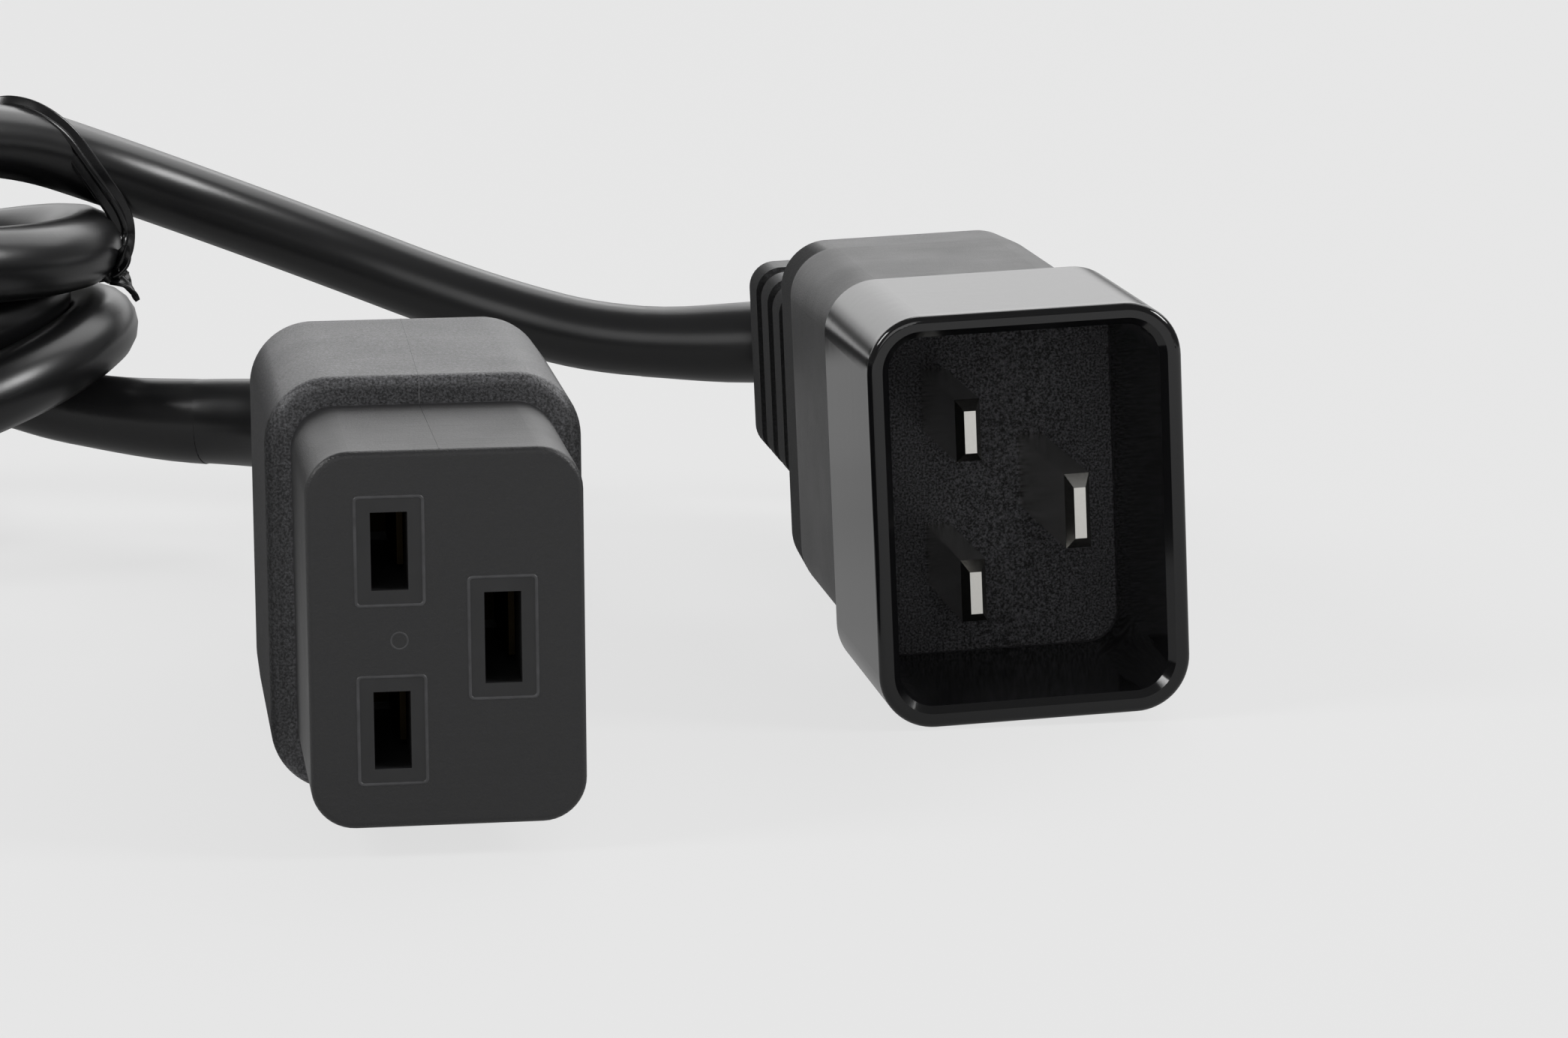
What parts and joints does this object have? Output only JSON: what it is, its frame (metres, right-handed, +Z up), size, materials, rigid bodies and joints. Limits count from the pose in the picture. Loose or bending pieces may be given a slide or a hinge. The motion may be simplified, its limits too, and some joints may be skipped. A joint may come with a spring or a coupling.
{
  "type": "c19 power connector",
  "caption": "Moulded rectangular female power connector with offset blade slots, on a tied flexible lead that ends in a shrouded male plug.",
  "frame": {"origin": "bottom centre of the C19 connector standing on its short edge, without its cord", "axes": "+Z up, -Y out of the mating face, +X towards the plug on the other end of the lead"},
  "size_m": [0.1882, 0.1562, 0.0446],
  "materials": {
    "pvc": "fine spark texture",
    "cord": "smooth jacket",
    "shroud": "polished",
    "insert": "matte",
    "contact": "stamped",
    "pin": "bright plated",
    "core_brown": "smooth",
    "core_blue": "smooth",
    "core_earth": "striped green and yellow",
    "tie": "coated wire"
  },
  "bodies": {
    "root": {"c19_overmould": "pvc", "c19_strain_relief": "pvc", "c19_line_sleeve": "insert", "c19_neutral_sleeve": "insert", "c19_earth_sleeve": "insert", "c19_contact_carrier": "insert", "c19_line_contact": "contact", "c19_neutral_contact": "contact", "c19_earth_contact": "contact", "c19_line_core": "core_brown", "c19_neutral_core": "core_blue", "c19_earth_core": "core_earth", "c20_shroud": "shroud", "c20_overmould": "pvc", "c20_strain_relief": "pvc", "c20_line_pin": "pin", "c20_neutral_pin": "pin", "c20_earth_pin": "pin", "c20_line_core": "core_brown", "c20_neutral_core": "core_blue", "c20_earth_core": "core_earth", "cord_c19_tail": "cord", "cord_c20_tail": "cord", "cord_hank": "cord", "cord_tie": "tie"}
  },
  "joints": []
}
